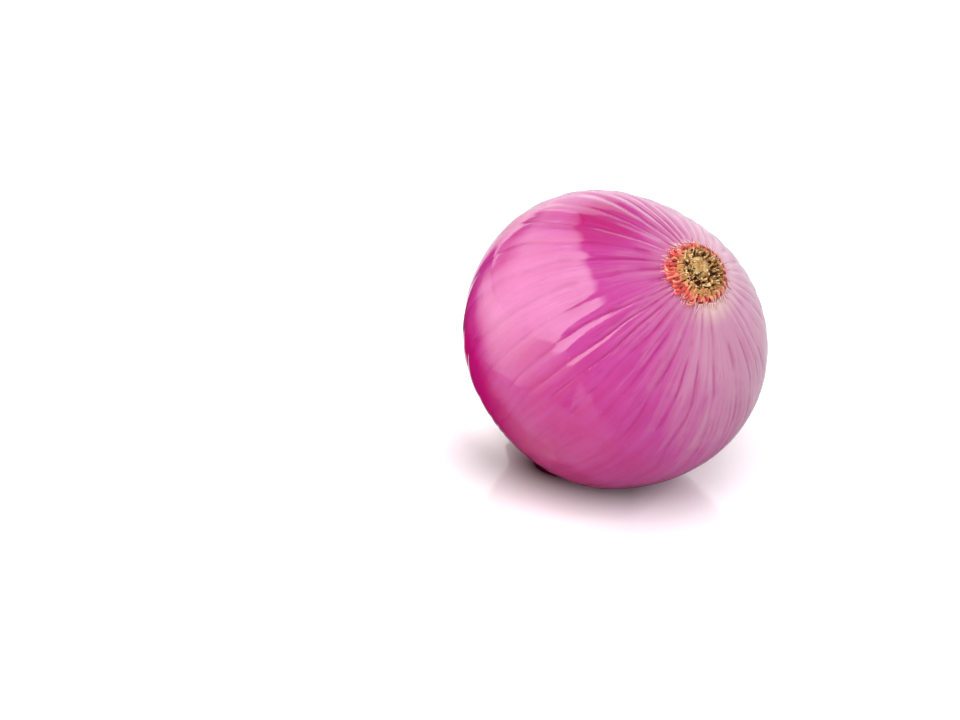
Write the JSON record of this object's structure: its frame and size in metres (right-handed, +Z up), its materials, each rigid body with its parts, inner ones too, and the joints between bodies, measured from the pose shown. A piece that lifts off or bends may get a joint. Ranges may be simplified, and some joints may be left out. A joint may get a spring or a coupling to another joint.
{
  "type": "shallot",
  "caption": "Whole peeled shallot bulb lying at a slant, glossy ribbed magenta skin, domed tan root plate with a coral fringe, short dry trimmed neck.",
  "frame": {"origin": "on the surface the bulb stands on, under the middle of its bounding box", "axes": "+Z up; the bulb's axis lies in the XZ plane, its root end up and towards +X, its neck down and towards -X; Y is across the bulb"},
  "size_m": [0.0434, 0.0376, 0.0434],
  "materials": {
    "skin": "moist glossy fleshy skin, magenta with darker veins, paler towards the root end",
    "root": "dry matt corky root plate and cut root stubs, tan with dark brown gaps",
    "fringe": "thin half-dry skin edge, coral red, slightly glossy",
    "dry_neck": "dry pleated papery leaf, straw brown with pink, matt"
  },
  "bodies": {
    "root": {"bulb": "skin", "root_plate": "root", "root_fringe": "fringe", "neck": "dry_neck"}
  },
  "joints": []
}
